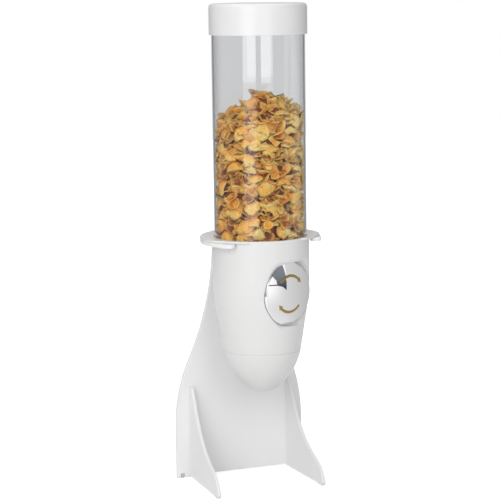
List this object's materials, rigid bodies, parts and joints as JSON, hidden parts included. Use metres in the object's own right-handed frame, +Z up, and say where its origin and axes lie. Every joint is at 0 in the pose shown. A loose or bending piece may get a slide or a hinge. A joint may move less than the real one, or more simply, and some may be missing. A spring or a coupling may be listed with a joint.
{
  "type": "rotating cereal dispenser",
  "caption": "Free-standing cereal dispenser: clear lidded canister over a bullet-shaped housing with a turning knob, hung in the yoke of a tall finned stand.",
  "frame": {"origin": "middle of the footprint, on the surface that the stand rests on", "axes": "+Z up, -Y towards the user, +X to the user's right when facing the dispenser"},
  "size_m": [0.152, 0.127, 0.5294],
  "materials": {
    "stand_plastic": "smooth satin moulding, white",
    "housing_plastic": "smooth satin moulding, white",
    "lid_plastic": "smooth gloss moulding, white",
    "inner_plastic": "plain moulding, white",
    "bush_plastic": "natural low-friction plastic",
    "seal_silicone": "soft translucent grey silicone",
    "foot_rubber": "matt pale grey rubber",
    "screw_steel": "zinc-plated",
    "shaft_steel": "turned stainless",
    "knob_chrome": "mirror chrome plating",
    "arrow_gold": "gold-olive printed marks",
    "clear_acrylic": "clear polished acrylic",
    "corn_flakes": "toasted golden flakes"
  },
  "bodies": {
    "stand": {"back_plate": "stand_plastic", "left_fin": "stand_plastic", "right_fin": "stand_plastic", "yoke": "stand_plastic", "yoke_screws": "screw_steel", "plate_feet": "foot_rubber", "fin_feet": "foot_rubber"},
    "housing": {"housing_shell": "housing_plastic", "nose_spout": "housing_plastic", "funnel": "inner_plastic", "metering_chamber": "inner_plastic", "front_bush": "bush_plastic", "rear_bush": "bush_plastic", "canister_seal": "seal_silicone"},
    "rotor": {"drive_shaft": "shaft_steel", "shaft_clip": "shaft_steel", "paddle_hub": "bush_plastic", "paddle_vanes": "seal_silicone", "knob_core": "bush_plastic", "knob_screw": "screw_steel", "knob_cap": "knob_chrome", "direction_arrows": "arrow_gold"},
    "canister": {"canister_tube": "clear_acrylic", "cereal_fill": "corn_flakes"},
    "lid": {"lid_cap": "lid_plastic", "lid_seal": "seal_silicone"}
  },
  "joints": [
    {"name": "housing_lift", "type": "slide", "parent": "stand", "child": "housing", "axis": [0, 0, 1], "range_m": [0, 0.18]},
    {"name": "wheel_turn", "type": "hinge", "parent": "housing", "child": "rotor", "pos_m": [0, -0.011, 0.221], "axis": [0.4067, -0.9135, 0], "continuous": true},
    {"name": "canister_lift", "type": "slide", "parent": "housing", "child": "canister", "axis": [0, 0, 1], "range_m": [0, 0.06]},
    {"name": "lid_lift", "type": "slide", "parent": "canister", "child": "lid", "axis": [0, 0, 1], "range_m": [0, 0.06]}
  ]
}
